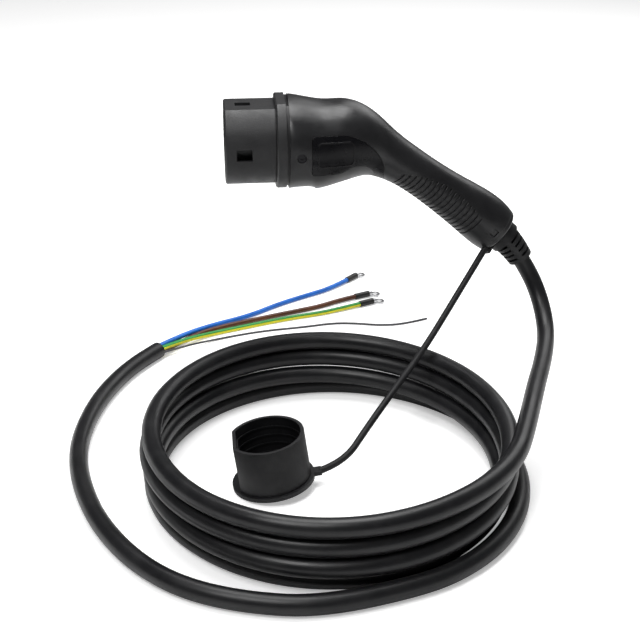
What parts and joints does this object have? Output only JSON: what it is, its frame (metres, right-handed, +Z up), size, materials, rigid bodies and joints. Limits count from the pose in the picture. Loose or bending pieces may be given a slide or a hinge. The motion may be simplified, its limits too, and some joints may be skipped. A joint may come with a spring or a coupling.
{
  "type": "ev charging plug",
  "caption": "Pistol-grip vehicle charging connector with a D-shaped nose, strapped dust cap and a coiled cable ending in stripped cores.",
  "frame": {"origin": "on the axis of the round sleeve, 1.2 mm inside the nose's mouth", "axes": "-X out of the nose towards the vehicle inlet, +Z up through the nose's flat, XZ the connector's plane of symmetry"},
  "size_m": [0.375, 0.537, 0.2361],
  "materials": {
    "body_plastic": "satin, fine moulded grain",
    "nose_plastic": "matt, fine moulded grain",
    "panel_plastic": "smooth satin",
    "soft_rubber": "matt",
    "cap_rubber": "matt",
    "cable_sheath": "satin",
    "contact_metal": "silver plated",
    "screw_metal": "dark zinc",
    "lug_metal": "tin plated",
    "core_blue": "satin",
    "core_brown": "satin",
    "core_earth": "satin, green stripe",
    "core_pilot": "satin",
    "shrink_black": "satin"
  },
  "bodies": {
    "root": {"nose_barrel": "nose_plastic", "collar_ring": "nose_plastic", "nose_seal": "soft_rubber", "carrier_top": "nose_plastic", "carrier_upper": "nose_plastic", "carrier_lower": "nose_plastic", "carrier_bottom": "nose_plastic", "contact_retainer": "nose_plastic", "housing": "body_plastic", "side_panel": "panel_plastic", "end_cap": "body_plastic", "cable_entry": "cable_sheath", "strain_relief_boot": "soft_rubber", "strap_ring": "cap_rubber", "cap_strap": "cap_rubber", "dust_cap": "cap_rubber", "cable_drop": "cable_sheath", "cable_coil": "cable_sheath", "cable_tail": "cable_sheath", "core_blue": "core_blue", "core_brown": "core_brown", "core_earth": "core_earth", "core_pilot": "core_pilot", "contact_l1": "contact_metal", "contact_n": "contact_metal", "contact_pe": "contact_metal", "contact_cp": "contact_metal", "contact_pp": "contact_metal", "retainer_screw_1": "screw_metal", "retainer_screw_2": "screw_metal", "retainer_screw_3": "screw_metal", "retainer_screw_4": "screw_metal", "housing_screw_left": "screw_metal", "housing_screw_right": "screw_metal", "sleeve_blue": "shrink_black", "lug_blue": "lug_metal", "sleeve_brown": "shrink_black", "lug_brown": "lug_metal", "sleeve_earth": "shrink_black", "lug_earth": "lug_metal"}
  },
  "joints": []
}
